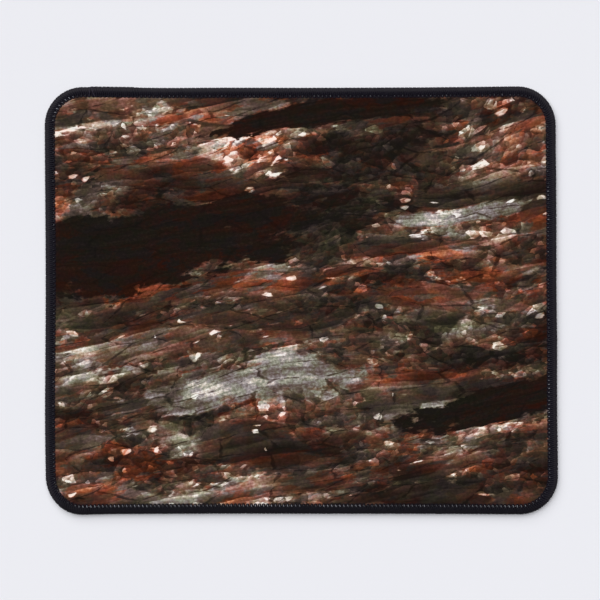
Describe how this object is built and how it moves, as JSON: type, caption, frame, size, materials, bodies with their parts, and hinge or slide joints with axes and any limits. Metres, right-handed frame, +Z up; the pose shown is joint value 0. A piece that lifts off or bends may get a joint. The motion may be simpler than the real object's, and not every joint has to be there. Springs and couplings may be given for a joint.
{
  "type": "mouse pad",
  "caption": "Flat rounded rectangular mouse pad: printed cloth bonded to a rubber base, with an overlocked black thread edge.",
  "frame": {"origin": "middle of the underside, on the surface that the pad lies on", "axes": "+X along the long side, +Y towards the back edge, +Z up out of the mousing surface"},
  "size_m": [0.24, 0.2, 0.0034],
  "materials": {
    "base_rubber": "matt black natural rubber, with a fine raised grip pattern on the underside",
    "printed_cloth": "fine woven polyester, dye printed with a dark brown, rust and grey rock-like pattern, matt",
    "looper_thread": "black twisted polyester thread, densely overlocked, soft sheen",
    "needle_thread": "black twisted polyester thread, pulled tight, a little shinier than the loopers"
  },
  "bodies": {
    "root": {"rubber_base": "base_rubber", "cloth_top": "printed_cloth", "upper_looper_thread": "looper_thread", "lower_looper_thread": "looper_thread", "needle_thread": "needle_thread"}
  },
  "joints": []
}
